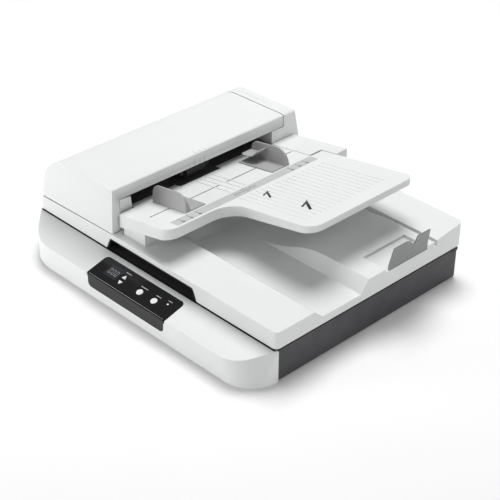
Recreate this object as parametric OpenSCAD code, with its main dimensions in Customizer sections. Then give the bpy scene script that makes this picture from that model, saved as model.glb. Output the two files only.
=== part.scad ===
// Flatbed document scanner with a lid-mounted automatic document feeder.
// Axes: +X to the right, +Y to the rear, +Z up, in millimetres.
// Working coordinates run from the lid's left front corner, and placed() moves
// them so that the origin is the centre of the whole object's footprint.

/* [Casing] */
// Width of the casing, left to right
case_w = 620; // [616:1:640]
// Height of the base's top face above the table
base_top = 66; // [64:1:70]
// Height of the rubber feet
foot_h = 5; // [4:0.5:6]
// Wall thickness of the moulded casings
wall = 3; // [2.5:0.1:3.5]
// Gap between the base and the closed lid
lid_gap = 3; // [2.5:0.1:4]

/* [Feeder] */
// Slope of the paper tray in degrees
tray_slope = 9.65; // [9:0.05:10]
// Distance from the paper centre line to each side guide
guide_half = 126.5; // [122:0.5:128]
// Lean of the raised paper stopper in degrees
stopper_lean = 13; // [8:1:16]

/* [Hidden] */
$fn = 48;
eps = 0.02;
white = "#eef0ee";
dark = "#3b3b3e";
black = "#141416";
grey = "#9a9a9c";
steel = "#b9bcc0";
board_green = "#2f6b45";
rubber_dark = "#2b2b2d";

// Casing outline
case_back = 475;
base_front = 4;
base_back = 470;
nose_front = -60;
nose_r = 60;
nose_over = 3;
corner_r = 9;
slope_deg = 15.42;
tub_top = base_top - 6;
floor_z = foot_h + wall;
lid_bottom = base_top + lid_gap;
plate_top = lid_bottom + 3;
rail_top = 102;
bed_z = 84;
shelf_z = 107;
back_rail_low = 108;
back_rail_high = 117;
paper_y = 212.5;

// Scan windows
glass_lo = [145, 55];
glass_hi = [585, 370];
strip_lo = [98, 50];
strip_hi = [126, 374];

// Carriage drive
rod_y0 = 386;
rod_z0 = 28;
belt_y = 404;
belt_x0 = 30;
belt_x1 = 600;
pulley_r = 6.3;

// Lid hinges
hinge_y = 470;
hinge_z = 74;
hinge_xs = [76, 544];
ear_r = 7.5;

// Feeder
cover_y0 = 0.6;
cover_lean = 2.8;
cover_y1 = 429;
cover_pivot = [15, 108];
lip_x = 209;
transport_at = [66, 122];
exit_at = [180, 96];
pinch_at = [180, 81.2];
motor_at = [130, 140];
drive_wheel_r = 12;
exit_wheel_r = 4.4;
feed_at = [150, 152];
pick_at = [186, 149];
plate_front_y = 24;
plate_back_y = 425;
tray_pivot = [220, 126];
tray_origin = [219, 142];
slot_x = 52;
stopper_pivot = [620.5, 103];

// Footprint of the whole object, which sets the origin
foot_x0 = -nose_over;
foot_x1 = stopper_pivot[0] + 52 * sin(stopper_lean) + 1.1 * cos(stopper_lean);
foot_y0 = nose_front - 0.4;
foot_y1 = hinge_y + ear_r;

// ---------------------------------------------------------------- helpers

module placed() {
  translate([-(foot_x0 + foot_x1) / 2, -(foot_y0 + foot_y1) / 2, 0]) children();
}

module box(lo, hi) {
  translate(lo) cube(hi - lo);
}

module rod_x(x0, x1, y, z, r) {
  translate([x0, y, z]) rotate([0, 90, 0]) cylinder(h = x1 - x0, r = r);
}

module rod_y(y0, y1, x, z, r) {
  translate([x, y1, z]) rotate([90, 0, 0]) cylinder(h = y1 - y0, r = r);
}

module rod_z(z0, z1, x, y, r) {
  translate([x, y, z0]) cylinder(h = z1 - z0, r = r);
}

// Extrudes an outline drawn in X and Z from y0 to y1
module along_y(y0, y1) {
  translate([0, y1, 0]) rotate([90, 0, 0]) linear_extrude(height = y1 - y0) children();
}

// Extrudes an outline drawn in Y and Z from x0 to x1
module along_x(x0, x1) {
  translate([x0, 0, 0]) rotate([90, 0, 90]) linear_extrude(height = x1 - x0) children();
}

// Points of an arc, in degrees
function arc(cx, cy, r, a0, a1, n = 8) =
  [for (i = [0:n]) [cx + r * cos(a0 + (a1 - a0) * i / n), cy + r * sin(a0 + (a1 - a0) * i / n)]];

module round_rect(x0, y0, x1, y1, r) {
  translate([x0 + r, y0]) square([x1 - x0 - 2 * r, y1 - y0]);
  translate([x0, y0 + r]) square([x1 - x0, y1 - y0 - 2 * r]);
  for (x = [x0 + r, x1 - r], y = [y0 + r, y1 - r]) translate([x, y]) circle(r = r);
}

// ---------------------------------------------------------------- base

module base_outline(inset) {
  union() {
    round_rect(inset, base_front + 20, case_w - inset, base_back - inset, corner_r - inset);
    translate([inset, base_front + inset]) square([case_w - 2 * inset, 60]);
  }
}

screw_xs = [20, case_w - 20];
screw_ys = [22, 452];

module base_tub() {
  color(dark) placed() difference() {
    union() {
      difference() {
        translate([0, 0, foot_h]) linear_extrude(height = tub_top - foot_h) base_outline(0);
        translate([0, 0, floor_z]) linear_extrude(height = tub_top) base_outline(wall);
      }
      for (x = screw_xs, y = screw_ys) rod_z(foot_h, 20, x, y, 6);
      for (x = [wall - 1, case_w - 12]) box([x, rod_y0 - 8, floor_z - 1], [x + 10, rod_y0 + 8, rod_z0 + 10]);
      for (x = [386, 534], y = [424, 456]) rod_z(floor_z - 1, 12, x, y, 3);
    }
    for (x = screw_xs, y = screw_ys) {
      rod_z(foot_h - 1, floor_z, x, y, 3.4);
      rod_z(foot_h - 1, 21, x, y, 1.8);
    }
    rod_x(wall, case_w - wall, rod_y0, rod_z0, 4);
    box([409.5, base_back - 4, 13.3], [422.5, base_back + 1, 25]);
    box([449.5, base_back - 4, 13.3], [460.5, base_back + 1, 25]);
    box([489.5, base_back - 4, 20], [505.5, base_back + 1, 40]);
    box([200, base_front - 1, 20], [260, base_front + 4, 40]);
  }
}

module window_cut(lo, hi, ledge) {
  box([lo[0], lo[1], base_top - 3], [hi[0], hi[1], base_top + 1]);
  box([lo[0] + ledge, lo[1] + ledge, tub_top - 1], [hi[0] - ledge, hi[1] - ledge, base_top]);
}

module base_top_frame() {
  color(dark) placed() difference() {
    union() {
      translate([0, 0, tub_top]) linear_extrude(height = base_top - tub_top) base_outline(0);
      for (x = screw_xs, y = screw_ys) rod_z(20.2, tub_top + 1, x, y, 4.5);
    }
    for (x = screw_xs, y = screw_ys) rod_z(20, 40, x, y, 1.5);
    window_cut(glass_lo, glass_hi, 5);
    window_cut(strip_lo, strip_hi, 3);
  }
}

module flatbed_glass() {
  color("#9fb4b8", 0.4) placed()
    box([glass_lo[0], glass_lo[1], base_top - 3], [glass_hi[0], glass_hi[1], base_top]);
}

module feeder_glass() {
  color("#9fb4b8", 0.4) placed()
    box([strip_lo[0], strip_lo[1], base_top - 3], [strip_hi[0], strip_hi[1], base_top]);
}

module base_feet() {
  color(rubber_dark) placed()
    for (x = [50, case_w - 50], y = [-10, 430]) rod_z(0, foot_h, x, y, 12);
}

module base_screws() {
  color(steel) placed()
    for (x = screw_xs, y = screw_ys) {
      rod_z(foot_h + 0.6, floor_z, x, y, 3);
      rod_z(floor_z, 34, x, y, 1.5);
    }
}

// Left end of the nose's plan: a 45 degree cut that runs into a wide round
nose_left_r = 95;
nose_back = base_front - 0.1;
nose_left_x = nose_left_r * sqrt(2) - nose_front - nose_left_r + nose_back - nose_over;

function nose_left(inset, back) = concat(
  [[nose_back - nose_over - back + inset * sqrt(2), back]],
  arc(nose_left_x, nose_front + nose_left_r, nose_left_r - inset, 225, 270, 12)
);

// Right end: a steeper cut at the top, which fills out to a full round at the table
cut_at = [537, nose_front + 74.4];
cut_r = 74.4;

module nose_slice(z, inset, back, right) {
  translate([0, 0, z]) linear_extrude(height = 0.5) polygon(concat(nose_left(inset, back), right));
}

module nose_plan(inset, back) {
  hull() {
    nose_slice(foot_h + inset, inset, back, concat(
      arc(case_w + nose_over - nose_r, 0, nose_r - inset, 270, 360, 12), [[case_w + nose_over - inset, back]]
    ));
    nose_slice(base_top, inset, back, concat(
      arc(cut_at[0], cut_at[1], cut_r - inset, 270, 323.13, 10),
      [[cut_at[0] + (cut_r - inset + 0.6 * (back - cut_at[1])) / 0.8, back]]
    ));
  }
}

// The nose is the white front casing, with round plan corners and a top face
// that slopes down to the front
module nose_solid(inset, back) {
  drop = inset / cos(slope_deg);
  rise = tan(slope_deg);
  intersection() {
    nose_plan(inset, back);
    along_x(-10, case_w + 10) polygon([
      [nose_front - 2, foot_h], [back, foot_h], [back, base_top - drop],
      [0, base_top - drop], [nose_front - 2, base_top - drop + (nose_front - 2) * rise]
    ]);
  }
}

module on_slope() {
  translate([0, 0, base_top]) rotate([slope_deg, 0, 0]) children();
}

panel_x0 = 208;
panel_x1 = 414;
panel_back = -11.5;
panel_crease = -61.8;

module panel_front_outline(grow) {
  round_rect(panel_x0 + 3 - grow, 24 - grow, panel_x1 - 3 + grow, 60, 9);
}

module base_bezel() {
  color(white) placed() difference() {
    nose_solid(0, nose_back);
    difference() {
      nose_solid(wall, base_front + 1);
      for (x = [180, 440]) box([x, nose_front, 0], [x + 2, nose_back, 100]);
    }
    on_slope() translate([0, 0, -6]) linear_extrude(height = 12)
      round_rect(panel_x0 - 0.2, panel_crease - 20, panel_x1 + 0.2, panel_back + 0.2, 9);
    along_y(nose_front - 2, nose_front + 6) panel_front_outline(0.2);
  }
}

tri_r = 5.2;

module up_outline(grow) {
  translate([277.5, -32]) rotate(90) circle(r = tri_r + grow, $fn = 3);
}

module down_outline(grow) {
  translate([279, -44]) rotate(-90) circle(r = tri_r + grow, $fn = 3);
}

module round_button_outline(x, grow) {
  translate([x, -40]) circle(r = 6.3 + grow);
}

module display_outline(grow) {
  round_rect(234 - grow, -47 - grow, 266 + grow, -20 + grow, 2);
}

light_at = [390, -31];

module control_panel() {
  color(black) placed() difference() {
    union() {
      on_slope() translate([0, 0, -2.2]) linear_extrude(height = 2.6) intersection() {
        round_rect(panel_x0, panel_crease - 20, panel_x1, panel_back, 9);
        translate([panel_x0, panel_crease]) square([panel_x1 - panel_x0, 60]);
      }
      intersection() {
        along_y(nose_front - 0.4, nose_front + 2.2) panel_front_outline(0);
        along_x(panel_x0, panel_x1) polygon([
          [nose_front - 1, 0], [nose_front + 3, 0], [nose_front + 3, 48.2], [nose_front - 1, 49.4]
        ]);
      }
    }
    on_slope() translate([0, 0, -8]) linear_extrude(height = 12) {
      up_outline(0.3);
      down_outline(0.3);
      round_button_outline(327, 0.3);
      round_button_outline(364, 0.3);
      display_outline(0);
      translate(light_at) circle(r = 1.6);
    }
  }
}

module display_window() {
  color("#20262c") placed() on_slope() translate([0, 0, -2.2]) linear_extrude(height = 2.5) display_outline(0);
}

module status_light() {
  color("#e8f0ff") placed() on_slope() rod_z(-9.6, 0.6, light_at[0], light_at[1], 1.5);
}

module press_button() {
  on_slope() {
    translate([0, 0, -5.6]) linear_extrude(height = 7.2) children(0);
    translate([0, 0, -5.6]) linear_extrude(height = 1.4) children(1);
  }
}

module up_button() {
  color(white) placed() press_button() {
    up_outline(0);
    translate([277.5, -32]) circle(r = 5.6);
  }
}

module down_button() {
  color(white) placed() press_button() {
    down_outline(0);
    translate([279, -44]) circle(r = 5.6);
  }
}

module round_button(x) {
  press_button() {
    round_button_outline(x, 0);
    round_button_outline(x, 1.6);
  }
}

module scan_button() {
  color(white) placed() round_button(327);
}

module cancel_button() {
  color(white) placed() round_button(364);
}

module panel_board() {
  color(board_green) placed() on_slope() {
    translate([226, -56, -11.6]) cube([176, 38, 1.6]);
    for (p = [[277.5, -32], [279, -44], [327, -40], [364, -40]])
      translate([p[0] - 2.5, p[1] - 2.5, -10 - eps]) cube([5, 5, 2.8]);
    for (x = [229, 397]) translate([x, -37, -10 - eps]) cube([3, 3, 7.4]);
  }
}

// ---------------------------------------------------------------- electronics

module main_board() {
  color(board_green) placed() {
    box([380, 418, 12], [540, 462, 13.6]);
    for (i = [0:3]) box([392 + 34 * i, 424, 13.6 - eps], [408 + 34 * i, 438, 15.6]);
    for (i = [0:4]) rod_z(13.6 - eps, 24, 394 + 12 * i, 446, 3.5);
  }
}

module rear_sockets() {
  color(black) placed() difference() {
    union() {
      box([410, 452, 13.6], [422, base_back - 0.3, 24.7]);
      box([450, 452, 13.6], [460, base_back - 0.3, 24.7]);
    }
    box([411.6, 460, 15.2], [420.4, base_back + 1, 23.2]);
    rod_y(458, base_back + 1, 455, 19, 3.2);
  }
}

module power_switch() {
  color(black) placed() {
    along_x(490, 505) polygon([
      [467, 21.5], [471, 21.5], [470.4, 30], [473.5, 38.5], [467, 38.5]
    ]);
    rod_x(490, 505, 468, 30, 3);
  }
}

// ---------------------------------------------------------------- carriage drive

module guide_rod() {
  color(steel) placed() rod_x(wall, case_w - wall, rod_y0, rod_z0, 4);
}

module guide_rail() {
  color(steel) placed() box([14, 33, floor_z], [case_w - 14, 40, 20]);
}

module carriage_motor() {
  color("#55585c") placed() difference() {
    rod_z(floor_z, 23, belt_x0, belt_y, 17.4);
    rod_z(12, 24, belt_x0, belt_y, 1.56);
  }
}

module pulley(x) {
  rod_z(32, 42, x, belt_y, pulley_r);
  rod_z(31, 32.6, x, belt_y, 8.4);
  rod_z(41.4, 43, x, belt_y, 8.4);
}

module drive_pulley() {
  color(steel) placed() {
    pulley(belt_x0);
    rod_z(13, 45, belt_x0, belt_y, 1.5);
  }
}

module idler_pulley() {
  color(steel) placed() difference() {
    pulley(belt_x1);
    rod_z(30, 45, belt_x1, belt_y, 2.06);
  }
}

module idler_bracket() {
  color(steel) placed() {
    box([586, 396, floor_z], [612, 412, 30]);
    rod_z(29, 44, belt_x1, belt_y, 2);
  }
}

module belt_loop(grow) {
  for (x = [belt_x0, belt_x1]) translate([x, belt_y]) circle(r = pulley_r + grow);
  translate([belt_x0, belt_y - pulley_r - grow]) square([belt_x1 - belt_x0, 2 * (pulley_r + grow)]);
}

module drive_belt() {
  color(rubber_dark) placed() translate([0, 0, 33.5]) linear_extrude(height = 7) difference() {
    belt_loop(1.3);
    belt_loop(0.1);
  }
}

// ---------------------------------------------------------------- carriage

scan_x = 112;

module carriage_frame() {
  color(black) placed() difference() {
    union() {
      box([70, 44, 14], [130, 372, 56]);
      box([74, 371, 20], [126, rod_y0, 36]);
      rod_x(72, 128, rod_y0, rod_z0, 8);
      box([90, 30, 20.3], [110, 45, 24.5]);
      box([92, rod_y0, 34], [108, 396.2, 44]);
      box([92, rod_y0, 41.2], [108, 400, 44]);
      box([92, 398, 35], [108, 400, 44]);
    }
    box([72.5, 46.5, 16.5], [127.5, 369.5, 53.5]);
    box([scan_x - 9, 52, 50], [scan_x + 9, 364, 60]);
    rod_x(70, 130, rod_y0, rod_z0, 6);
  }
}

module carriage_bushes() {
  color("#c79a4b") placed() difference() {
    for (x = [72, 118]) rod_x(x, x + 10, rod_y0, rod_z0, 6);
    rod_x(60, 140, rod_y0, rod_z0, 4.06);
  }
}

module scan_lamps() {
  color("#f4f7ff") placed() for (x = [scan_x - 12, scan_x + 9]) rod_y(46.5, 369.5, x, 48, 2.6);
}

module tilted_mirror(x, z, tilt) {
  translate([x, 46.5, z]) rotate([0, tilt, 0]) translate([-7, 0, -1]) cube([14, 323, 2]);
}

module scan_mirrors() {
  color("#dfe6ea") placed() {
    tilted_mirror(scan_x, 24, 45);
    tilted_mirror(82, 42, 40);
  }
}

module lens_block() {
  color("#2a2a2c") placed() {
    box([84, 192, 16.5], [100, 233, 34]);
    rod_x(78, 105, paper_y, 26, 7);
  }
}

module sensor_board() {
  color(board_green) placed() box([72.5, 178, 18], [74.5, 247, 36]);
}

// ---------------------------------------------------------------- lid hinges

module hinge_brackets() {
  color(steel) placed() for (x = hinge_xs) {
    box([x - 16, base_back, 24], [x + 16, base_back + 3, 66]);
    for (side = [-1, 1]) difference() {
      union() {
        rod_x(x + 13.5 * side - 2.5, x + 13.5 * side + 2.5, hinge_y, hinge_z, ear_r);
        box([x + 13.5 * side - 2.5, hinge_y, 60], [x + 13.5 * side + 2.5, hinge_y + ear_r, hinge_z]);
      }
      rod_x(x + 13.5 * side - 3, x + 13.5 * side + 3, hinge_y, hinge_z, 3);
    }
  }
}

module hinge_pins() {
  color(steel) placed() for (x = hinge_xs) rod_x(x - 17, x + 17, hinge_y, hinge_z, 3);
}

module lid_hinge_arms() {
  color(steel) placed() for (x = hinge_xs) difference() {
    union() {
      rod_x(x - 10.6, x + 10.6, hinge_y, hinge_z, 7);
      box([x - 10, 420, plate_top], [x + 10, hinge_y, plate_top + 4]);
    }
    rod_x(x - 12, x + 12, hinge_y, hinge_z, 3.06);
  }
}

// ---------------------------------------------------------------- lid

// Height of the lid's rim at the feeder's left and right sides
seam_left = 96;
seam_right = 102;

module rail_profile() {
  polygon([
    [0, lid_bottom], [case_back, lid_bottom], [case_back, back_rail_high],
    [403, back_rail_low], [403, 97], [395, 97], [395, bed_z], [110, bed_z],
    [88, rail_top], [0, rail_top]
  ]);
}

module rail_hollow() {
  polygon([
    [-1, lid_bottom - 1], [case_back - wall, lid_bottom - 1],
    [case_back - wall, back_rail_high - wall - 0.4], [403 + wall, back_rail_low - wall],
    [403 + wall, 97 - wall], [395 - wall, 97 - wall], [395 - wall, bed_z - wall],
    [108, bed_z - wall], [86, rail_top - wall], [-1, rail_top - wall]
  ]);
}

// The raised shelf fades down to the left in an S-shaped ramp
ramp_x0 = 370;
ramp_x1 = 520;
ramp_h = shelf_z - bed_z;
ramp_r = (pow(ramp_x1 - ramp_x0, 2) + pow(ramp_h, 2)) / (4 * ramp_h);
ramp_deg = 2 * atan(ramp_h / (ramp_x1 - ramp_x0));

module ramp_profile(drop, right) {
  polygon(concat(
    [[right, bed_z - 4], [right, shelf_z - drop]],
    arc(ramp_x1, shelf_z - drop - ramp_r, ramp_r, 90, 90 + ramp_deg, 12),
    arc(ramp_x0, bed_z - drop + ramp_r, ramp_r, 270 + ramp_deg, 270, 12),
    [[ramp_x0, bed_z - 4]]
  ));
}

module shelf_solid(drop, right) {
  intersection() {
    along_y(200, 396) ramp_profile(drop, right);
    along_x(300, 630) polygon([
      [203 + drop, bed_z - 4], [203 + drop, bed_z], [222 + drop, shelf_z],
      [395.5 - drop, shelf_z], [395.5 - drop, bed_z - 4]
    ]);
  }
}

handle_x0 = 192;
handle_x1 = 430;

module handle_outline(inset) {
  h = 23 - inset;
  translate([0, lid_bottom]) polygon(concat(
    [[handle_x0 + inset, -1], [handle_x1 - inset, -1]],
    arc(handle_x1 - 14 - inset, h - 6, 6, 15, 90, 5),
    arc(handle_x0 + 14 + inset, h - 6, 6, 90, 165, 5)
  ));
}

module hinge_notch() {
  for (x = hinge_xs) box([x - 17.5, 455, lid_bottom - 2], [x + 17.5, case_back + 2, 85]);
}

module seam_cut() {
  along_y(-5, case_back + 5) polygon([
    [-1, seam_left], [11, seam_left], [lip_x, seam_right], [lip_x, 130], [-1, 130]
  ]);
}

// Everything to the right of the lid's leaning left side
module left_lean(inset) {
  run = 6.8 / (seam_left - lid_bottom);
  shift = inset * sqrt(1 + run * run);
  along_y(-1, case_back + 1) polygon([
    [shift - 4 * run, lid_bottom - 4], [case_w + 1, lid_bottom - 4],
    [case_w + 1, 130], [shift + (130 - lid_bottom) * run, 130]
  ]);
}

// The raised rim of the lid that the feeder stands on
module feeder_rim(inset) {
  intersection() {
    translate([0, 0, lid_bottom - inset]) linear_extrude(height = 60)
      round_rect(inset, inset, case_w, case_back - inset, corner_r - inset);
    along_y(0, case_back) polygon([
      [0, lid_bottom - inset], [lip_x + inset, lid_bottom - inset],
      [lip_x + inset, seam_right - inset], [11, seam_left - inset], [0, seam_left - inset]
    ]);
  }
}

stop_y0 = 266;
stop_y1 = 376;

module lid_shell() {
  color(white) placed() difference() {
    intersection() {
      left_lean(0);
      union() {
        difference() {
          intersection() {
            translate([0, 0, lid_bottom]) linear_extrude(height = 80)
              round_rect(0, 0, case_w, case_back, corner_r);
            along_x(0, case_w) rail_profile();
          }
          intersection() {
            left_lean(wall);
            translate([0, 0, lid_bottom - 1]) linear_extrude(height = 80)
              round_rect(wall, wall, case_w - wall, case_back - wall, corner_r - wall);
            along_x(wall, case_w - wall) rail_hollow();
          }
        }
        shelf_solid(0, case_w);
        feeder_rim(0);
      }
    }
    intersection() {
      left_lean(wall);
      feeder_rim(wall);
    }
    difference() {
      shelf_solid(wall, case_w - wall);
      box([560, stop_y0 - wall, 80], [case_w, stop_y1 + wall, 110]);
    }
    box([566, stop_y0, 101.4], [case_w + 1, stop_y1, 120]);
    along_y(-1, 22.2) handle_outline(0);
    hinge_notch();
    seam_cut();
    box([12, 22.2, 60], [206, 460, 120]);
    box([200, 110, bed_z], [lip_x + 0.1, 395, 120]);
  }
}

module lid_base_plate() {
  color(white) placed() difference() {
    intersection() {
      left_lean(wall + 0.1);
      translate([0, 0, lid_bottom]) linear_extrude(height = plate_top - lid_bottom)
        round_rect(wall + 0.1, wall + 0.1, case_w - wall - 0.1, case_back - wall - 0.1, corner_r - wall);
    }
    hinge_notch();
    box([11, 22, 60], [206, 452, 120]);
    box([handle_x0 - 2, -1, 60], [handle_x1 + 2, 24.5, 120]);
  }
}

module document_pad() {
  color(white) placed() box([209, 58, base_top + 0.4], [582, 366, lid_bottom]);
}

module lid_buffers() {
  color(rubber_dark) placed() for (x = [24, case_w - 24], y = [30, 440]) rod_z(base_top + 0.3, lid_bottom, x, y, 5);
}

module handle_insert() {
  color(black) placed() difference() {
    along_y(0.4, 22) handle_outline(0.2);
    along_y(-1, 19.5) handle_outline(2.4);
    box([handle_x0 - 5, -5, 60], [handle_x1 + 5, 30, lid_bottom]);
  }
}

// ---------------------------------------------------------------- feeder body

side_x = 7;
side_lean = 0.16;

function hood_outline(inset) = concat(
  [[side_x + inset, 98]],
  arc(76.9, 123.3, 65 - inset, 171, 91.4, 16),
  [[206, 191.5 - inset], [lip_x, 189.5 - inset]]
);

module hood_region(inset, bottom) {
  polygon(concat([[side_x + inset - (98 - bottom) * side_lean, bottom]], hood_outline(inset), [[lip_x, bottom]]));
}

// The cover's length, with its front end leaning back a little
module cover_span(inset) {
  along_x(0, 220) polygon([
    [cover_y0 + inset, 80], [cover_y0 + inset, seam_left], [cover_y0 + inset + cover_lean, 192],
    [cover_y1 + inset, 192], [cover_y1 + inset, 80]
  ]);
}

module feeder_cover() {
  color(white) placed() difference() {
    union() {
      difference() {
        intersection() {
          cover_span(0);
          along_y(0, cover_y1) intersection() {
            hood_region(0, 90);
            polygon([[11, 98], [0, 102], [0, 220], [lip_x, 220], [lip_x, seam_right + 1]]);
          }
        }
        intersection() {
          cover_span(wall);
          along_y(0, cover_y1 + 1) hood_region(wall, 80);
        }
      }
      intersection() {
        cover_span(0.4);
        union() {
          along_y(0, cover_y1) intersection() {
            hood_region(1, 90);
            translate([lip_x - 3.5, 167]) square([3.5, 40]);
          }
          box([lip_x - 4, 0, seam_right + 2], [lip_x, 19, 168]);
        }
      }
      for (y = [168, 256]) box([feed_at[0] - 7, y, feed_at[1] - 8], [feed_at[0] + 7, y + 6, 189]);
      for (y = [14, 412]) {
        rod_y(y, y + 8, cover_pivot[0], cover_pivot[1], 3.4);
        box([side_x + 3, y, cover_pivot[1] - 3], [cover_pivot[0], y + 8, cover_pivot[1] + 3]);
      }
    }
    for (y = [plate_front_y - 1, plate_back_y - 1]) rod_y(y, y + 6, cover_pivot[0], cover_pivot[1], 5.6);
    rod_y(10, 440, cover_pivot[0], cover_pivot[1], 1.56);
    rod_y(160, 270, feed_at[0], feed_at[1], 3.06);
  }
}

module side_plate(y) {
  difference() {
    union() {
      box([30, y, 73.9], [200, y + 3, 132]);
      box([30, y, 131], [160, y + 3, 160]);
      box([cover_pivot[0], y, 103], [31, y + 3, 113]);
      rod_y(y, y + 3, cover_pivot[0], cover_pivot[1], 5);
    }
    rod_y(y - 1, y + 4, transport_at[0], transport_at[1], 4.06);
    rod_y(y - 1, y + 4, exit_at[0], exit_at[1], 3.06);
    rod_y(y - 1, y + 4, pinch_at[0], pinch_at[1], 2.06);
    rod_y(y - 1, y + 4, cover_pivot[0], cover_pivot[1], 1.5);
  }
}

// Room for the left lid hinge's leaf
module leaf_notch() {
  box([hinge_xs[0] - 10.5, 419, plate_top - 0.1], [hinge_xs[0] + 10.5, 453, plate_top + 4.2]);
}

module feeder_frame() {
  color(dark) placed() {
    difference() {
      box([12.3, 22.5, 70], [205.7, 451.7, 74]);
      box([strip_lo[0], strip_lo[1], 69], [strip_hi[0], strip_hi[1], 75]);
      leaf_notch();
    }
    side_plate(plate_front_y);
    difference() {
      side_plate(plate_back_y);
      leaf_notch();
    }
    rod_y(13, plate_front_y, cover_pivot[0], cover_pivot[1], 1.5);
    rod_y(411, plate_back_y, cover_pivot[0], cover_pivot[1], 1.5);
    box([168, 31, 132 - eps], [205, 49, 165]);
    difference() {
      box([160, 26, 74 - eps], [205, 49, 132]);
      rod_y(20, 60, exit_at[0], exit_at[1], 4);
      rod_y(20, 60, pinch_at[0], pinch_at[1], 3);
    }
  }
}

module feeder_back_cap() {
  color(white) placed() difference() {
    union() {
      intersection() {
        along_y(431, 474) intersection() {
          hood_region(0, 90);
          polygon([[0, 97], [11, 97], [lip_x, seam_right], [lip_x, 220], [0, 220]]);
        }
        along_x(0, 220) polygon([[431, 90], [474, 90], [474, 130], [460, 195], [431, 195]]);
      }
      box([160, 399, 136.3], [lip_x, 432, 165.5]);
      box([203.3, 399, seam_right], [lip_x, 432, 137]);
    }
    intersection() {
      along_y(430, 471) hood_region(wall, 80);
      along_x(0, 206) polygon([[430, 80], [471, 80], [471, 129], [457.5, 195], [430, 195]]);
    }
    box([163, 402, 100], [206, 440, 162.5]);
    along_y(440, 447) difference() {
      for (i = [0:7]) translate([78 + 11 * i, 180]) square([6, 20]);
      hood_region(0.5, 90);
    }
  }
}

module back_block() {
  color(white) placed() difference() {
    intersection() {
      union() {
        box([lip_x + 0.6, 396.5, 90], [311.5, 459, 200]);
        box([311, 427.5, 90], [350, 459, 200]);
      }
      along_y(390, 460) polygon([
        [200, 100], [360, 100], [360, tray_origin[1] + 141 * tan(tray_slope)],
        [200, tray_origin[1] - 19 * tan(tray_slope)]
      ]);
      along_x(200, 360) polygon([
        [390, back_rail_low], [403, back_rail_low], [468, back_rail_high], [468, 220], [390, 220]
      ]);
    }
    along_y(394, 456) polygon([[213, 90], [308, 90], [308, 151], [213, 136]]);
  }
}

module tray_support() {
  color(white) placed() {
    along_x(205, 208.5) polygon([[20.2, 102.4], [49.5, 102.4], [49.5, 130], [45.5, 163], [20.2, 166]]);
    along_y(17.5, 48) polygon([[221, rail_top], [278, rail_top], [278, 127.4], [221, 115.4]]);
    for (y = [[54, rail_top], [384, bed_z]]) difference() {
      union() {
        box([213, y[0], y[1]], [227, y[0] + 6, tray_pivot[1]]);
        rod_y(y[0], y[0] + 6, tray_pivot[0], tray_pivot[1], 7);
      }
      rod_y(y[0] - 1, y[0] + 7, tray_pivot[0], tray_pivot[1], 3);
    }
  }
}

module tray_shaft() {
  color(steel) placed() rod_y(52, 391, tray_pivot[0], tray_pivot[1], 3);
}

// ---------------------------------------------------------------- feeder works

module feeder_motor() {
  color("#55585c") placed() {
    rod_y(plate_back_y + 3, 446, motor_at[0], motor_at[1], 18);
    rod_y(446, 457, motor_at[0], motor_at[1], 2);
    rod_y(448, 456.5, motor_at[0], motor_at[1], 6);
  }
}

module wrap(a, ra, b, rb) {
  hull() {
    translate(a) circle(r = ra, $fn = 64);
    translate(b) circle(r = rb, $fn = 64);
  }
}

module belt_between(y, a, ra, b, rb) {
  along_y(y, y + 3) difference() {
    wrap(a, ra + 1.5, b, rb + 1.5);
    wrap(a, ra + 0.25, b, rb + 0.25);
  }
}

module feeder_belts() {
  color(rubber_dark) placed() {
    belt_between(448.4, motor_at, 6, transport_at, drive_wheel_r);
    belt_between(452.8, transport_at, drive_wheel_r, exit_at, exit_wheel_r);
  }
}

module paper_guide() {
  color(grey) placed() along_y(49, plate_back_y) difference() {
    polygon([
      [96, 106], [203, 106], [203, 136], [160, 136], [96, 134], [92, 124], [92, 112]
    ]);
    polygon([[99, 109], [200, 109], [200, 133], [160, 133], [99, 131]]);
  }
}

module separation_pad() {
  color(rubber_dark) placed() box([141, 197, 136], [160, 228, 139.4]);
}

module roller_sleeves(at, r, spans) {
  for (span = spans) rod_y(span[0], span[1], at[0], at[1], r);
}

wide_spans = [[62, 96], [124, 158], [196, 230], [268, 302], [330, 364]];

module transport_roller() {
  color(rubber_dark) placed() {
    roller_sleeves(transport_at, 22, wide_spans);
    rod_y(22, 457, transport_at[0], transport_at[1], 4);
    rod_y(448, 456.5, transport_at[0], transport_at[1], drive_wheel_r);
  }
}

module exit_roller() {
  color(rubber_dark) placed() {
    roller_sleeves(exit_at, 8, wide_spans);
    rod_y(25, 457, exit_at[0], exit_at[1], 3);
    rod_y(452, 456.5, exit_at[0], exit_at[1], exit_wheel_r);
  }
}

module pinch_roller() {
  color(grey) placed() {
    roller_sleeves(pinch_at, 6.4, wide_spans);
    rod_y(25, plate_back_y + 4, pinch_at[0], pinch_at[1], 2);
  }
}

module feed_roller() {
  color(rubber_dark) placed() {
    rod_y(190, 238, feed_at[0], feed_at[1], 12);
    rod_y(167, 263, feed_at[0], feed_at[1], 3);
  }
}

module pick_roller() {
  color(rubber_dark) placed() {
    rod_y(190, 238, pick_at[0], pick_at[1], 12);
    rod_y(179, 249, pick_at[0], pick_at[1], 3);
  }
}

module pick_arm() {
  color(grey) placed() difference() {
    union() {
      for (y = [180, 244]) {
        rod_y(y, y + 4, feed_at[0], feed_at[1], 7);
        rod_y(y, y + 4, pick_at[0], pick_at[1], 7);
        along_y(y, y + 4) polygon([
          [feed_at[0], 148], [pick_at[0], 146], [pick_at[0], 167], [feed_at[0], 168]
        ]);
      }
      along_y(180, 248) polygon([
        [feed_at[0], 165.6], [pick_at[0], 164.6], [pick_at[0], 167], [feed_at[0], 168]
      ]);
    }
    rod_y(170, 260, feed_at[0], feed_at[1], 3.06);
    rod_y(170, 260, pick_at[0], pick_at[1], 3.06);
  }
}

// ---------------------------------------------------------------- paper tray

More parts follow.
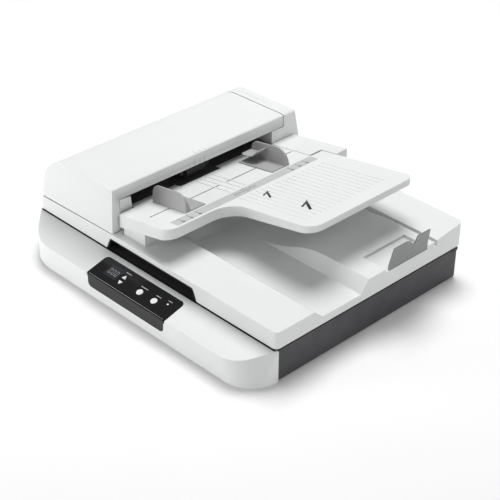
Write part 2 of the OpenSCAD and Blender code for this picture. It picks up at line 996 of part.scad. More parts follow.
module on_tray() {
  translate([tray_origin[0], 0, tray_origin[1]]) rotate([0, -tray_slope, 0]) children();
}

tray_x0 = 214;
tray_front = 14;
tray_back = 425;

function tray_plan(d, left) = concat(
  [[left, tray_front + d]],
  arc(320, tray_front + 24, 24 - d, -90, 0, 8),
  arc(386, 118, 42 + d, 180, 90, 12),
  arc(513, 188, 28 - d, -90, 0, 8),
  arc(522, 406, 19 - d, 0, 90, 6),
  [[317 + d, tray_back - d], [317 + d, 394.5 - d], [left, 394.5 - d]]
);

module tray_body(d, left, top_drop, bottom_drop) {
  rise = tan(tray_slope);
  intersection() {
    translate([0, 0, 90]) linear_extrude(height = 130) polygon(tray_plan(d, left));
    along_y(0, 440) polygon([
      [200, tray_origin[1] - 19 * rise - top_drop], [560, tray_origin[1] + 341 * rise - top_drop],
      [560, 187.6 - bottom_drop], [200, 112 - bottom_drop]
    ]);
  }
}

rib_pitch = 12.35;

module tray() {
  color(white) placed() {
    difference() {
      union() {
        difference() {
          tray_body(0, tray_x0, 0, 0);
          tray_body(wall, tray_x0 - 10, wall, 20);
        }
        for (y = [62, 376]) difference() {
          box([213.5, y, 119], [226.5, y + 6, 139.6]);
          rod_y(y - 1, y + 7, tray_pivot[0], tray_pivot[1], 3.06);
        }
        on_tray() rod_z(-9, -2, slot_x, paper_y, 2);
      }
      on_tray() box([slot_x - 1.5, 36, -8], [slot_x + 1.5, paper_y - 8, 2]);
      on_tray() box([slot_x - 1.5, paper_y + 8, -8], [slot_x + 1.5, 391, 2]);
    }
    on_tray() {
      for (i = [0:16]) box([128 + 0.8 * i, 182 + rib_pitch * i, -0.5], [292, 183.6 + rib_pitch * i, 0.7]);
      for (i = [0:3]) box([2, 190 + 13 * i, -0.5], [94, 192 + 13 * i, 0.8]);
    }
  }
}

guide_front_y = paper_y - guide_half;
rack_pitch = 3.1416;
pinion_r = 9;
tooth_count = 18;

// Side guide at the front; the back one is its mirror image about paper_y
module guide_shape() {
  intersection() {
    along_y(guide_front_y - 4, guide_front_y + 12) polygon(concat(
      [[94, 0.4], [5, 0.4]],
      arc(20, 18, 15, 180, 90, 6),
      arc(72, 11, 22, 90, 0, 10)
    ));
    along_x(4, 95) polygon([
      [guide_front_y - 3, 0], [guide_front_y + 10, 0], [guide_front_y + 6.4, 14],
      [guide_front_y + 4.6, 34], [guide_front_y + 2.6, 34]
    ]);
  }
  box([5, guide_front_y - 2.2, 0.4], [95, guide_front_y + 43, 2.2]);
}

module guide_carrier() {
  stem_y0 = guide_front_y + 12;
  box([slot_x - 1.1, stem_y0, -6.5], [slot_x + 1.1, stem_y0 + 16, 1]);
  box([slot_x - 16, stem_y0, -6.5], [slot_x + 1.1, stem_y0 + 16, -4]);
  box([slot_x - 16, stem_y0, -6.5], [slot_x - pinion_r - 1.3, paper_y + 50, -4]);
  for (i = [-31:15]) translate([0, paper_y + i * rack_pitch, -6.5]) linear_extrude(height = 2.5) polygon([
    [slot_x - pinion_r - 1.4, -1.1], [slot_x - pinion_r + 0.7, -0.42],
    [slot_x - pinion_r + 0.7, 0.42], [slot_x - pinion_r - 1.4, 1.1]
  ]);
}

module front_guide() {
  color(grey) placed() on_tray() {
    guide_shape();
    guide_carrier();
  }
}

// Curled ledge on the inner side of the back guide, which the paper slides under
module guide_ledge() {
  intersection() {
    along_y(guide_front_y + 3, guide_front_y + 40) polygon(concat(
      [[5, 16.1], [5, 14.5]],
      arc(26, 36.5, 22, 270, 330, 6),
      arc(26, 36.5, 20.4, 330, 270, 6)
    ));
    linear_extrude(height = 40) polygon(concat(
      [[5, guide_front_y + 32], [5, guide_front_y + 4], [48, guide_front_y + 4]],
      arc(30, guide_front_y + 18, 18, 0, 90, 6),
      [[12, guide_front_y + 36]]
    ));
  }
}

module back_guide() {
  color(grey) placed() on_tray() {
    translate([0, 2 * paper_y, 0]) mirror([0, 1, 0]) {
      guide_shape();
      guide_ledge();
    }
    translate([2 * slot_x, 2 * paper_y, 0]) rotate([0, 0, 180]) guide_carrier();
  }
}

module guide_pinion() {
  color(grey) placed() on_tray() translate([slot_x, paper_y, -6.4]) difference() {
    union() {
      cylinder(h = 2.3, r = pinion_r - 1.4);
      for (i = [0:tooth_count - 1]) rotate([0, 0, (i + 0.5) * 360 / tooth_count])
        linear_extrude(height = 2.3) polygon([
          [pinion_r - 2, -1.0], [pinion_r + 0.7, -0.36], [pinion_r + 0.7, 0.36], [pinion_r - 2, 1.0]
        ]);
    }
    translate([0, 0, -1]) cylinder(h = 5, r = 2.06);
  }
}

// ---------------------------------------------------------------- stopper

module at_stopper() {
  translate([stopper_pivot[0], 0, stopper_pivot[1]]) rotate([0, stopper_lean, 0]) children();
}

module stopper() {
  color("#5f6266") placed() at_stopper() {
    translate([-1.1, 0, 0]) along_x(0, 2.2) polygon(concat(
      [[271, 0], [268, 12], [268, 50], [270, 52], [301, 52]],
      arc(328, 52, 15, 200, 270, 6),
      [[330, 52], [363, 52], [368, 20], [374, 0]]
    ));
    rod_y(276, 374, 0, 0, 1.6);
  }
}

// ---------------------------------------------------------------- parts

base_tub();
base_bezel();
base_top_frame();
flatbed_glass();
feeder_glass();
base_feet();
base_screws();
control_panel();
display_window();
status_light();
up_button();
down_button();
scan_button();
cancel_button();
panel_board();
main_board();
rear_sockets();
power_switch();
guide_rod();
guide_rail();
carriage_motor();
drive_pulley();
idler_pulley();
idler_bracket();
drive_belt();
carriage_frame();
carriage_bushes();
scan_lamps();
scan_mirrors();
lens_block();
sensor_board();
hinge_brackets();
hinge_pins();
lid_hinge_arms();
lid_shell();
lid_base_plate();
document_pad();
lid_buffers();
handle_insert();
feeder_frame();
feeder_back_cap();
back_block();
tray_support();
tray_shaft();
feeder_motor();
feeder_belts();
paper_guide();
separation_pad();
transport_roller();
exit_roller();
pinch_roller();
feeder_cover();
pick_arm();
feed_roller();
pick_roller();
tray();
front_guide();
back_guide();
guide_pinion();
stopper();
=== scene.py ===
"""Looks for the flatbed document scanner with a sheet feeder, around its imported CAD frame."""
import math

import bmesh
import bpy
from mathutils import Matrix, Vector, geometry


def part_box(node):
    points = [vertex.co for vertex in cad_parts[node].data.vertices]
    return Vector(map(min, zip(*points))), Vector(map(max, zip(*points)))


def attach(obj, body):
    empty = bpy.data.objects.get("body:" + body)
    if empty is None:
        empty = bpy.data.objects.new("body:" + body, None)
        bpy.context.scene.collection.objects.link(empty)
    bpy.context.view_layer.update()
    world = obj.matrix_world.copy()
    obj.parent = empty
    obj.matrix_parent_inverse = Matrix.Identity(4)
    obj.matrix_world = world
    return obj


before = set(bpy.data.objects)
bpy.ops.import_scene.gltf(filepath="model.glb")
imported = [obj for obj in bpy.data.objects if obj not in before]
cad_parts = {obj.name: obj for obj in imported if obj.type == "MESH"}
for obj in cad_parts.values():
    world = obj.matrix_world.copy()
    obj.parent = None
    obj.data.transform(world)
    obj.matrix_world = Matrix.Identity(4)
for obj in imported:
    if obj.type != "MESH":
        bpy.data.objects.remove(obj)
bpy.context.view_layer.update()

MM = 0.001
LID_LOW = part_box("lid_shell")[0]
BASE_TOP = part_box("base_top_frame")[1].z
TRAY_SLOPE = math.radians(9.65)
NOSE_SLOPE = math.radians(15.42)
CASE_WIDTH = 620
PAPER_Y = 212.5
TRAY_PIVOT_X = 219
TRAY_PIVOT_Z = 142


def at(x, y, z):
    """A point given in millimetres from the lid's left front corner and the table."""
    return Vector((LID_LOW.x + x * MM, LID_LOW.y + y * MM, z * MM))


# Frames that prisms are drawn in: on the table, looking at the right side and at the front,
# and lying on the tray and on the nose's slope
FACING_RIGHT = Matrix(((0, 0, 1), (1, 0, 0), (0, 1, 0))).to_4x4()
FACING_FRONT = Matrix(((1, 0, 0), (0, 0, -1), (0, 1, 0))).to_4x4()
TABLE_FRAME = Matrix.Translation(at(0, 0, 0))
SIDE_FRAME = Matrix.Translation(at(CASE_WIDTH, 0, 0)) @ FACING_RIGHT
FRONT_FRAME = TABLE_FRAME @ FACING_FRONT
TRAY_FRAME = Matrix.Translation(at(TRAY_PIVOT_X, 0, TRAY_PIVOT_Z)) @ Matrix.Rotation(-TRAY_SLOPE, 4, "Y")
NOSE_FRAME = Matrix.Translation(at(0, 0, BASE_TOP / MM)) @ Matrix.Rotation(NOSE_SLOPE, 4, "X")


# ------------------------------------------------------------ materials


# Colour sockets of the Mix node, which has a set of sockets for each data type
MIX_FIRST, MIX_SECOND, MIX_RESULT = 6, 7, 2


class Nodes:
    """A material's node tree with short ways to add and join nodes."""

    def __init__(self, name):
        self.material = bpy.data.materials.new(name)
        self.material.use_nodes = True
        self.tree = self.material.node_tree
        self.shader = self.tree.nodes["Principled BSDF"]
        self.place = self.add("ShaderNodeTexCoord").outputs["Object"]

    def add(self, kind, **settings):
        node = self.tree.nodes.new(kind)
        for key, value in settings.items():
            setattr(node, key, value)
        return node

    def join(self, source, target):
        self.tree.links.new(source, target)

    def scaled(self, scale):
        node = self.add("ShaderNodeMapping")
        node.inputs["Scale"].default_value = scale
        self.join(self.place, node.inputs["Vector"])
        return node.outputs["Vector"]

    def noise(self, scale, detail=3.0, vector=None):
        node = self.add("ShaderNodeTexNoise")
        node.inputs["Scale"].default_value = scale
        node.inputs["Detail"].default_value = detail
        self.join(vector or self.place, node.inputs["Vector"])
        return node.outputs["Fac"]

    def ramp(self, fac, low, high, start=0.3, end=0.7):
        node = self.add("ShaderNodeMapRange")
        node.inputs["From Min"].default_value = start
        node.inputs["From Max"].default_value = end
        node.inputs["To Min"].default_value = low
        node.inputs["To Max"].default_value = high
        self.join(fac, node.inputs["Value"])
        return node.outputs["Result"]

    def blend(self, fac, first, second):
        """A colour between two colours, each a tuple or another node's output."""
        node = self.add("ShaderNodeMix", data_type="RGBA")
        self.join(fac, node.inputs["Factor"])
        for socket, value in ((node.inputs[MIX_FIRST], first), (node.inputs[MIX_SECOND], second)):
            if isinstance(value, tuple):
                socket.default_value = (*value, 1.0)
            else:
                self.join(value, socket)
        return node.outputs[MIX_RESULT]

    def colour(self, source):
        self.join(source, self.shader.inputs["Base Color"])

    def roughness(self, source):
        self.join(source, self.shader.inputs["Roughness"])

    def set(self, **values):
        for key, value in values.items():
            self.shader.inputs[key.replace("_", " ")].default_value = value

    def bump(self, layers):
        """Bump layers, each (height, strength, distance in metres)."""
        last = None
        for height, strength, distance in layers:
            node = self.add("ShaderNodeBump")
            node.inputs["Strength"].default_value = strength
            node.inputs["Distance"].default_value = distance
            self.join(height, node.inputs["Height"])
            if last:
                self.join(last, node.inputs["Normal"])
            last = node.outputs["Normal"]
        self.join(last, self.shader.inputs["Normal"])

    def axis(self, letter):
        node = self.add("ShaderNodeSeparateXYZ")
        self.join(self.place, node.inputs["Vector"])
        return node.outputs[letter]


def shade(colour, factor):
    return tuple(min(1.0, c * factor) for c in colour)


def moulded(name, colour, rough, grain=2600.0, depth=0.00002, tone=0.03):
    """Moulded plastic: a fine eroded texture, slow tone and gloss changes."""
    n = Nodes(name)
    n.colour(n.blend(n.noise(9.0, 4.0), shade(colour, 1 - tone), shade(colour, 1 + tone)))
    n.roughness(n.ramp(n.noise(40.0, 5.0), rough - 0.05, rough + 0.06))
    n.bump([(n.noise(grain, 2.0), 0.35, depth), (n.noise(12.0, 1.0), 0.08, 0.0004)])
    n.set(IOR=1.49)
    return n.material


def glossy(name, colour, rough=0.08, tone=0.06):
    """Polished plastic: faint swirls of handling in the gloss."""
    n = Nodes(name)
    n.colour(n.blend(n.noise(25.0, 2.0), shade(colour, 1 - tone), shade(colour, 1 + tone)))
    n.roughness(n.ramp(n.noise(90.0, 6.0), rough, rough + 0.06))
    n.bump([(n.noise(30.0, 1.0), 0.05, 0.0003)])
    n.set(IOR=1.52, Specular_IOR_Level=0.3)
    return n.material


def brushed(name, colour, rough=0.3, along=(1.0, 60.0, 60.0)):
    n = Nodes(name)
    lines = n.noise(60.0, 6.0, n.scaled(along))
    n.colour(n.blend(lines, shade(colour, 0.88), shade(colour, 1.1)))
    n.roughness(n.ramp(lines, rough - 0.08, rough + 0.12))
    n.bump([(lines, 0.15, 0.00002)])
    n.set(Metallic=1.0)
    return n.material


def rubber(name, colour):
    n = Nodes(name)
    n.colour(n.blend(n.noise(300.0, 4.0), shade(colour, 0.8), shade(colour, 1.25)))
    n.roughness(n.ramp(n.noise(500.0, 3.0), 0.62, 0.85))
    n.bump([(n.noise(2200.0, 4.0), 0.5, 0.00005)])
    return n.material


def window_glass(name):
    n = Nodes(name)
    n.colour(n.blend(n.noise(6.0, 2.0), (0.72, 0.83, 0.82), (0.78, 0.87, 0.86)))
    n.roughness(n.ramp(n.noise(70.0, 5.0), 0.01, 0.04))
    n.set(Transmission_Weight=0.9, IOR=1.52)
    return n.material


def circuit(name, part_height):
    """Solder mask with tracks; whatever stands above part_height is a black component."""
    n = Nodes(name)
    tracks = n.add("ShaderNodeTexBrick", offset=0.37)
    tracks.inputs["Scale"].default_value = 110.0
    tracks.inputs["Mortar Size"].default_value = 0.03
    tracks.inputs["Color1"].default_value = (0.012, 0.10, 0.04, 1)
    tracks.inputs["Color2"].default_value = (0.016, 0.12, 0.05, 1)
    tracks.inputs["Mortar"].default_value = (0.05, 0.26, 0.11, 1)
    n.join(n.place, tracks.inputs["Vector"])
    tall = n.ramp(n.axis("Z"), 0.0, 1.0, part_height, part_height + 0.0001)
    n.colour(n.blend(tall, tracks.outputs["Color"], (0.02, 0.02, 0.022)))
    n.roughness(n.ramp(n.noise(120.0), 0.25, 0.4))
    n.bump([(tracks.outputs["Fac"], 0.2, 0.00003)])
    return n.material


def lamp_plastic(name, colour, strength):
    n = Nodes(name)
    n.colour(n.blend(n.noise(200.0), shade(colour, 0.95), colour))
    n.roughness(n.ramp(n.noise(90.0), 0.2, 0.32))
    n.set(Emission_Color=(*colour, 1.0), Emission_Strength=strength)
    return n.material


def foam(name, colour):
    n = Nodes(name)
    n.colour(n.blend(n.noise(1500.0, 4.0), shade(colour, 0.93), colour))
    n.roughness(n.ramp(n.noise(600.0), 0.8, 0.95))
    n.bump([(n.noise(1800.0, 4.0), 0.6, 0.0001)])
    return n.material


WHITE = moulded("white_shell", (0.80, 0.81, 0.81), 0.44)
WHITE_INNER = moulded("white_inner", (0.74, 0.75, 0.75), 0.5)
CHARCOAL = moulded("charcoal_case", (0.047, 0.047, 0.052), 0.5, grain=1900.0, depth=0.00004, tone=0.08)
BLACK_MATT = moulded("black_moulding", (0.016, 0.016, 0.017), 0.55, tone=0.15)
GLOSS_BLACK = glossy("gloss_black", (0.008, 0.008, 0.009))
SCREEN = glossy("screen_glass", (0.022, 0.028, 0.032), 0.04)
KEY_WHITE = glossy("key_white", (0.86, 0.87, 0.88), 0.25, 0.02)
GUIDE_GREY = moulded("guide_grey", (0.42, 0.42, 0.425), 0.36, tone=0.05)
INNER_GREY = moulded("inner_grey", (0.06, 0.06, 0.063), 0.5, tone=0.06)
SMOKE = moulded("smoke_grey", (0.215, 0.218, 0.222), 0.3, tone=0.04)
# Mid grey for the size-mark strip, also used for the painted highlight on the panel's bend and the painted
# shade lines beside the lip ribs
LABEL_AND_PAINTED_LIGHT_GREY = moulded("label_and_painted_light_grey", (0.55, 0.555, 0.56), 0.4, grain=4000.0, depth=0.00001)
INK = moulded("mark_ink", (0.03, 0.03, 0.032), 0.4, tone=0.15)
INK_SOFT = moulded("mark_ink_soft", (0.14, 0.14, 0.145), 0.4, tone=0.1)
PRINT_WHITE = moulded("print_white", (0.62, 0.63, 0.64), 0.35)
STEEL = brushed("drawn_steel", (0.55, 0.56, 0.58))
STEEL_PLATE = brushed("steel_plate", (0.48, 0.49, 0.51), 0.36, (60.0, 1.0, 60.0))
ZINC = brushed("motor_zinc", (0.16, 0.165, 0.175), 0.42, (30.0, 30.0, 1.0))
BRONZE = brushed("sintered_bronze", (0.55, 0.36, 0.15), 0.38, (40.0, 40.0, 40.0))
SILVERED = brushed("mirror_glass", (0.9, 0.92, 0.93), 0.12, (1.0, 8.0, 1.0))
RUBBER = rubber("soft_rubber", (0.028, 0.028, 0.030))
ROLLER = rubber("roller_rubber", (0.035, 0.035, 0.038))
GLASS = window_glass("flat_glass")
PANEL_BOARD = circuit("panel_board_mask", 0.2)
MAIN_BOARD = circuit("main_board_mask", 0.0139)
LIGHT = lamp_plastic("status_lens", (0.75, 0.85, 1.0), 0.6)
LAMP = lamp_plastic("lamp_tube", (0.92, 0.95, 1.0), 0.0)
FOAM = foam("white_foam", (0.85, 0.85, 0.84))

# Each CAD node's material and the radius of its small moulded edges in millimetres
CAD_LOOKS = {
    "base_tub": (CHARCOAL, 1.2), "base_bezel": (WHITE, 0.4), "base_top_frame": (CHARCOAL, 0.8),
    "flatbed_glass": (GLASS, 0.2), "feeder_glass": (GLASS, 0.2), "base_feet": (RUBBER, 1.0),
    "base_screws": (STEEL, 0.2), "control_panel": (GLOSS_BLACK, 0.5),
    "display_window": (SCREEN, 0.15), "status_light": (LIGHT, 0.15), "up_button": (KEY_WHITE, 0.4),
    "down_button": (KEY_WHITE, 0.4), "scan_button": (KEY_WHITE, 0.5), "cancel_button": (KEY_WHITE, 0.5),
    "panel_board": (PANEL_BOARD, 0.1), "main_board": (MAIN_BOARD, 0.1),
    "rear_sockets": (BLACK_MATT, 0.3), "power_switch": (GLOSS_BLACK, 0.4), "guide_rod": (STEEL, 0.3),
    "guide_rail": (STEEL, 0.3), "carriage_motor": (ZINC, 0.6), "drive_pulley": (STEEL, 0.2),
    "idler_pulley": (STEEL, 0.2), "idler_bracket": (STEEL_PLATE, 0.4), "drive_belt": (RUBBER, 0.1),
    "carriage_frame": (BLACK_MATT, 0.6), "carriage_bushes": (BRONZE, 0.3), "scan_lamps": (LAMP, 0.3),
    "scan_mirrors": (SILVERED, 0.1), "lens_block": (BLACK_MATT, 0.4), "sensor_board": (PANEL_BOARD, 0.1),
    "hinge_brackets": (STEEL_PLATE, 0.5), "hinge_pins": (STEEL, 0.3), "lid_hinge_arms": (STEEL_PLATE, 0.5),
    "lid_shell": (WHITE, 0.5), "lid_base_plate": (WHITE_INNER, 0.5), "document_pad": (FOAM, 0.8),
    "lid_buffers": (RUBBER, 0.5), "handle_insert": (BLACK_MATT, 0.5), "feeder_frame": (BLACK_MATT, 0.5),
    "feeder_back_cap": (WHITE, 0.5), "back_block": (WHITE, 0.8), "tray_support": (WHITE_INNER, 0.8),
    "tray_shaft": (STEEL, 0.3), "feeder_motor": (ZINC, 0.5), "feeder_belts": (RUBBER, 0.1),
    "paper_guide": (INNER_GREY, 0.6), "separation_pad": (RUBBER, 0.3), "transport_roller": (ROLLER, 0.4),
    "exit_roller": (ROLLER, 0.3), "pinch_roller": (INNER_GREY, 0.3), "feeder_cover": (WHITE, 0.4),
    "pick_arm": (INNER_GREY, 0.5), "feed_roller": (ROLLER, 0.4), "pick_roller": (ROLLER, 0.4),
    "tray": (WHITE, 0.25), "front_guide": (GUIDE_GREY, 0.5), "back_guide": (GUIDE_GREY, 0.5),
    "guide_pinion": (INNER_GREY, 0.1), "stopper": (SMOKE, 0.5),
}

# Nodes whose large outer edges are rounder, with that radius in millimetres
BIG_EDGES = {
    "feeder_cover": 4.0, "feeder_back_cap": 4.0, "lid_shell": 2.2, "base_bezel": 2.6, "tray": 1.7,
    "base_tub": 1.5, "tray_support": 1.2, "back_block": 1.2,
}

# Faces with many slots in them don't join into clean polygons
KEEP_TRIANGLES = {"tray"}

EDGE_ANGLE = math.radians(33)
FLAT_ANGLE = math.radians(0.4)
JOIN_ANGLE = math.radians(1)
WELD = 0.00001
# Both faces of a large edge reach at least this many radii away from it
FACE_REACH = 3.2
SMALL_STEPS = 2
BIG_STEPS = 5


def rounded(point):
    return tuple(round(c, 5) for c in point)


def big_edge_ends(mesh, radius):
    """Places of the ends of sharp edges whose faces both run well away from them."""
    bm = bmesh.new()
    bm.from_mesh(mesh)
    bmesh.ops.remove_doubles(bm, verts=bm.verts, dist=WELD)
    bmesh.ops.dissolve_limit(bm, angle_limit=JOIN_ANGLE, verts=bm.verts, edges=bm.edges)
    ends = set()
    for edge in bm.edges:
        if len(edge.link_faces) != 2 or not edge.is_convex or edge.calc_face_angle() < EDGE_ANGLE:
            continue
        a, b = (v.co for v in edge.verts)
        along = (b - a).normalized()
        reach = min(max((v.co - a - along * (v.co - a).dot(along)).length for v in face.verts)
                    for face in edge.link_faces)
        if reach > FACE_REACH * radius:
            ends.update(rounded(v.co) for v in edge.verts)
    bm.free()
    return ends


def add_bevel(obj, name, width, segments):
    bevel = obj.modifiers.new(name, "BEVEL")
    bevel.width = width
    bevel.segments = segments
    return bevel


def round_small_edges(obj, name, radius_mm):
    bevel = add_bevel(obj, name, radius_mm * MM, SMALL_STEPS)
    bevel.limit_method = "ANGLE"
    bevel.angle_limit = EDGE_ANGLE
    obj.modifiers.new("normals", "WEIGHTED_NORMAL").keep_sharp = True


def soften(obj, radius_mm, big_mm=0.0):
    """Rounds the sharp edges and keeps the broad faces flat."""
    obj.modifiers.new("weld", "WELD").merge_threshold = WELD
    if obj.name not in KEEP_TRIANGLES:
        flat = obj.modifiers.new("flat", "DECIMATE")
        flat.decimate_type = "DISSOLVE"
        flat.angle_limit = FLAT_ANGLE
    if big_mm:
        ends = big_edge_ends(obj.data, big_mm * MM)
        group = obj.vertex_groups.new(name="big_edges")
        picked = [v.index for v in obj.data.vertices if rounded(v.co) in ends]
        group.add(picked, 1.0, "ADD")
        big = add_bevel(obj, "big_edges", big_mm * MM, BIG_STEPS)
        big.limit_method = "VGROUP"
        big.vertex_group = group.name
    round_small_edges(obj, "small_edges", radius_mm)


def smooth_faces(mesh):
    mesh.polygons.foreach_set("use_smooth", [True] * len(mesh.polygons))
    mesh.update()


def dress_cad():
    for name, (material, radius) in CAD_LOOKS.items():
        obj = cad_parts[name]
        obj.data.materials.clear()
        obj.data.materials.append(material)
        smooth_faces(obj.data)
        soften(obj, radius, BIG_EDGES.get(name, 0.0))


# ------------------------------------------------------------ small pieces


def add_piece(name, mesh, body, material, radius_mm):
    obj = bpy.data.objects.new(name, mesh)
    bpy.context.scene.collection.objects.link(obj)
    mesh.materials.append(material)
    smooth_faces(mesh)
    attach(obj, body)
    if radius_mm:
        round_small_edges(obj, "bevel", radius_mm)


def prism_mesh(name, outlines, low, high, place):
    """Closed prisms over outlines given in millimetres, each counterclockwise."""
    bm = bmesh.new()
    for outline in outlines:
        bottom = [bm.verts.new((x * MM, y * MM, low * MM)) for x, y in outline]
        top = [bm.verts.new((x * MM, y * MM, high * MM)) for x, y in outline]
        bm.faces.new(bottom[::-1])
        bm.faces.new(top)
        for i in range(len(outline)):
            j = (i + 1) % len(outline)
            bm.faces.new((bottom[i], bottom[j], top[j], top[i]))
    bmesh.ops.transform(bm, matrix=place, verts=bm.verts)
    mesh = bpy.data.meshes.new(name)
    bm.to_mesh(mesh)
    bm.free()
    return mesh


def rectangle(x0, y0, x1, y1):
    return [(x0, y0), (x1, y0), (x1, y1), (x0, y1)]


def round_rectangle(x0, y0, x1, y1, r, steps=6):
    points = []
    corners = ((x1 - r, y0 + r, -90), (x1 - r, y1 - r, 0), (x0 + r, y1 - r, 90), (x0 + r, y0 + r, 180))
    for cx, cy, start in corners:
        for i in range(steps + 1):
            angle = math.radians(start + 90 * i / steps)
            points.append((cx + r * math.cos(angle), cy + r * math.sin(angle)))
    return points


# Widths of an arrowhead's legs as shares of their lengths
THIN_STROKE = 0.13
THICK_STROKE = 0.12


def open_mark(apex, thin_leg, thick_leg):
    """An open arrowhead with one thin and one thick leg, a generic face-up mark."""
    apex, thin_leg, thick_leg = Vector(apex), Vector(thin_leg), Vector(thick_leg)
    thin_side = Vector((-thin_leg.y, thin_leg.x)).normalized() * thin_leg.length * THIN_STROKE
    thick_side = Vector((thick_leg.y, -thick_leg.x)).normalized() * thick_leg.length * THICK_STROKE
    low, high = apex + thin_leg, apex + thick_leg
    inner = geometry.intersect_line_line_2d(low + thin_side, apex + thin_side - thin_leg,
                                            high + thick_side, apex + thick_side - thick_leg)
    return [tuple(p) for p in (apex, low, low + thin_side, inner, high + thick_side, high)]


STRIP_X0 = 99.0
STRIP_X1 = 121.5
STRIP_Y0 = 41.0
STRIP_Y1 = 391.0
SIZE_OFFSETS = (115, 135, 154)
CENTRE_TICKS = 9
CENTRE_PITCH = 6.2


def make_mark_strip():
    """The grey strip across the tray that carries the size ticks."""
    outline = round_rectangle(STRIP_X0, STRIP_Y0, STRIP_X1, STRIP_Y1, 2)
    strip = prism_mesh("mark_strip", [outline], -0.15, 0.22, TRAY_FRAME)
    add_piece("mark_strip", strip, "tray", LABEL_AND_PAINTED_LIGHT_GREY, 0.08)


def make_size_ticks():
    """Three ticks to each side of the middle, and a short scale in the middle."""
    ticks = []
    for offset in SIZE_OFFSETS:
        for side in (-1, 1):
            y = PAPER_Y + side * offset
            ticks.append(rectangle(STRIP_X0 + 3, y - 0.6, STRIP_X1 - 8, y + 0.6))
            ticks.append(rectangle(STRIP_X1 - 7, y - 3, STRIP_X1 - 4, y + 3))
            ticks.append(rectangle(STRIP_X1 - 3, y - 1.5, STRIP_X1 - 1.5, y + 1.5))
    middle = CENTRE_TICKS // 2
    for i in range(CENTRE_TICKS):
        y = PAPER_Y + (i - middle) * CENTRE_PITCH
        long = 9 if i == middle else 4 + 2 * (i % 2)
        ticks.append(rectangle(STRIP_X0 + 11 - long, y - 0.7, STRIP_X0 + 11 + long, y + 0.7))
    tick_mesh = prism_mesh("size_ticks", ticks, 0.1, 0.3, TRAY_FRAME)
    add_piece("size_ticks", tick_mesh, "tray", INK_SOFT, 0)


def make_face_up_marks():
    """Two open arrowheads on the tray, a small one and a large one."""
    marks = [open_mark((147.5, 232), (7.2, -19), (26, -16)),
             open_mark((236, 241.5), (11, -26), (33.5, -22.5))]
    add_piece("face_up_marks", prism_mesh("face_up_marks", marks, 0.7, 0.95, TRAY_FRAME),
              "tray", INK, 0)


def make_panel_marks():
    """Generic marks on the panel: a short bar above the arrow keys, each round key and the light."""
    bars = [rectangle(270, -21, 284, -19.6), rectangle(318, -28.6, 336, -27.2),
            rectangle(358, -28.6, 370, -27.2), rectangle(385, -24.8, 395, -23.6)]
    add_piece("panel_marks", prism_mesh("panel_marks", bars, 0.35, 0.48, NOSE_FRAME),
              "base", PRINT_WHITE, 0)


def make_panel_bend_highlight():
    """A painted highlight along the panel's bend: a light grey line where the crease catches the light."""
    bend = [rectangle(213, -60.6, 409, -60.1)]
    add_piece("panel_bend_highlight", prism_mesh("panel_bend_highlight", bend, 0.3, 0.5, NOSE_FRAME),
              "base", LABEL_AND_PAINTED_LIGHT_GREY, 0)


DIGITS = 3
DIGIT_X = 239.0
DIGIT_STEP = 8.4
DIGIT_WIDTH = 5.3
BAR_WIDTH = 0.9


def make_display_segments():
    """Three plain figures in the display, each drawn with six bars."""
    segments = []
    for i in range(DIGITS):
        x0 = DIGIT_X + i * DIGIT_STEP
        x1 = x0 + DIGIT_WIDTH
        for y0, y1 in ((-40, -34.6), (-33.4, -28)):
            segments.append(rectangle(x0, y0, x0 + BAR_WIDTH, y1))
            segments.append(rectangle(x1 - BAR_WIDTH, y0, x1, y1))
        for y in (-28.6, -40.4):
            segments.append(rectangle(x0 + BAR_WIDTH, y, x1 - BAR_WIDTH, y + BAR_WIDTH))
    add_piece("display_segments", prism_mesh("display_segments", segments, 0.28, 0.33, NOSE_FRAME),
              "base", GUIDE_GREY, 0)


GAP_END = 3.0


def make_nose_gap_shade():
    """A thin black sheet of painted shade, standing for the shadow in the gap between the nose and the
    lid's front.
    """
    outline = rectangle(GAP_END, -1.2, CASE_WIDTH - GAP_END, 3.8)
    gap = prism_mesh("nose_gap_shade", [outline], 65.9, 66.3, TABLE_FRAME)
    add_piece("nose_gap_shade", gap, "base", BLACK_MATT, 0.1)


def make_seam_liner():
    """A white sheet behind the seam under the cover, which would otherwise show the dark inside."""
    outline = [(24, 88), (200, 93), (200, 104), (24, 100)]
    liner = prism_mesh("seam_liner", [outline], -7.2, -6.8, FRONT_FRAME)
    add_piece("seam_liner", liner, "lid", WHITE, 0.05)


RAMP_X0 = -22.0
RAMP_X1 = -5.6


def make_paper_ramps():
    """The white floor that runs on from the tray into the mouth, to each side of the pick roller."""
    ramps = [rectangle(RAMP_X0, y0, RAMP_X1, y1) for y0, y1 in ((50, 160), (262, 390))]
    add_piece("paper_ramps", prism_mesh("paper_ramps", ramps, -1.6, -0.6, TRAY_FRAME),
              "lid", WHITE_INNER, 0.3)


RIB_YS = (203.0, 214.5, 226.0)
RIB_HALF = 1.0
RIB_TOP_X0 = 198.0
RIB_TOP_X1 = 206.5


def make_lip_ribs():
    """Three finger ribs down the cover's lip and over its top, with a painted shade line beside each."""
    faces = [rectangle(208.8, y - RIB_HALF, 209.9, y + RIB_HALF) for y in RIB_YS]
    add_piece("lip_ribs", prism_mesh("lip_ribs", faces, 168, 188.5, TABLE_FRAME),
              "cover", WHITE, 0.25)
    tops = [rectangle(RIB_TOP_X0, y - RIB_HALF, RIB_TOP_X1, y + RIB_HALF) for y in RIB_YS]
    add_piece("lip_rib_tops", prism_mesh("lip_rib_tops", tops, 190.8, 192.3, TABLE_FRAME),
              "cover", WHITE, 0.25)
    # Painted shade: a grey line beside each rib top stands in for the rib's shadow on the white cover
    rib_shade_lines = [rectangle(RIB_TOP_X0, y + 0.8, RIB_TOP_X1, y + 1.6) for y in RIB_YS]
    add_piece("lip_rib_shade_lines", prism_mesh("lip_rib_shade_lines", rib_shade_lines, 190.8, 191.55, TABLE_FRAME),
              "cover", LABEL_AND_PAINTED_LIGHT_GREY, 0)


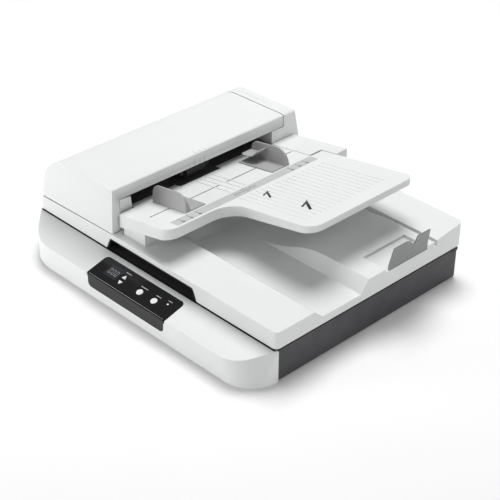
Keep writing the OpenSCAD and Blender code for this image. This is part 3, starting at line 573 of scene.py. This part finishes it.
def make_side_slot():
    """The black slot high at the back of the base's right side."""
    outline = round_rectangle(446, 61, 467, 68, 3.4)
    slot = prism_mesh("side_slot", [outline], -0.2, 0.25, SIDE_FRAME)
    add_piece("side_slot", slot, "base", BLACK_MATT, 0.1)


# ------------------------------------------------------------ stage


# The camera's place in millimetres, its turn, its lens in millimetres and its shift
VIEW_PLACE = (1927.97, -1367.81, 1462.61)
VIEW_AZIMUTH = math.radians(44.756)
VIEW_ELEVATION = math.radians(32.458)
VIEW_ROLL = math.radians(1.2427)
VIEW_LENS = 104.42
VIEW_SENSOR = 36.0
VIEW_SHIFT = (-0.01441, 0.001986)


def make_camera():
    """The viewpoint: front right and above, with a long lens."""
    azimuth, elevation, roll = VIEW_AZIMUTH, VIEW_ELEVATION, VIEW_ROLL
    back = Vector((math.sin(azimuth) * math.cos(elevation), -math.cos(azimuth) * math.cos(elevation),
                   math.sin(elevation)))
    side = Vector((math.cos(azimuth), math.sin(azimuth), 0))
    up = back.cross(side)
    right = side * math.cos(roll) + up * math.sin(roll)
    rolled_up = -side * math.sin(roll) + up * math.cos(roll)
    data = bpy.data.cameras.new("camera")
    data.lens, data.sensor_width = VIEW_LENS, VIEW_SENSOR
    data.shift_x, data.shift_y = VIEW_SHIFT
    data.clip_end = 50
    camera = bpy.data.objects.new("camera", data)
    turn = Matrix((right, rolled_up, back)).transposed().to_4x4()
    camera.matrix_world = Matrix.Translation(at(*VIEW_PLACE)) @ turn
    bpy.context.scene.collection.objects.link(camera)
    bpy.context.scene.camera = camera


# Each light's name, place, the point it faces, size in metres and power in watts:
# a large soft one above, a low one at the front left, a weak one at the right
LIGHTS = (
    ("overhead", (-0.5, 0.7, 2.6), (0, 0, 0.1), 1.6, 58),
    ("front", (-1.0, -1.7, 0.28), (-0.1, 0, 0.1), 1.0, 17),
    ("right", (3.0, -0.2, 0.7), (0, 0, 0.1), 1.6, 10),
)
FLOOR_HALF = 9000
WORLD_STRENGTH = 0.30


def area_light(name, place, target, size, power):
    data = bpy.data.lights.new(name, "AREA")
    data.shape, data.size, data.energy = "DISK", size, power
    light = bpy.data.objects.new(name, data)
    light.location = place
    light.rotation_euler = (Vector(target) - Vector(place)).to_track_quat("-Z", "Y").to_euler()
    bpy.context.scene.collection.objects.link(light)


def make_floor():
    outline = rectangle(-FLOOR_HALF, -FLOOR_HALF, FLOOR_HALF, FLOOR_HALF)
    mesh = prism_mesh("floor", [outline], -20, 0, Matrix.Identity(4))
    floor = bpy.data.objects.new("floor", mesh)
    look = Nodes("floor_white")
    look.colour(look.blend(look.noise(3.0), (0.93, 0.93, 0.93), (0.95, 0.95, 0.95)))
    look.roughness(look.ramp(look.noise(8.0), 0.75, 0.85))
    look.set(Emission_Color=(1, 1, 1, 1), Emission_Strength=0.09)
    mesh.materials.append(look.material)
    bpy.context.scene.collection.objects.link(floor)


def make_world():
    world = bpy.data.worlds.new("studio")
    world.use_nodes = True
    background = world.node_tree.nodes["Background"]
    background.inputs["Color"].default_value = (1, 1, 1, 1)
    background.inputs["Strength"].default_value = WORLD_STRENGTH
    bpy.context.scene.world = world
    bpy.context.scene.view_settings.view_transform = "Standard"


make_camera()
dress_cad()
make_mark_strip()
make_size_ticks()
make_face_up_marks()
make_panel_marks()
make_panel_bend_highlight()
make_display_segments()
make_nose_gap_shade()
make_seam_liner()
make_paper_ramps()
make_lip_ribs()
make_side_slot()
make_floor()
for light in LIGHTS:
    area_light(*light)
make_world()
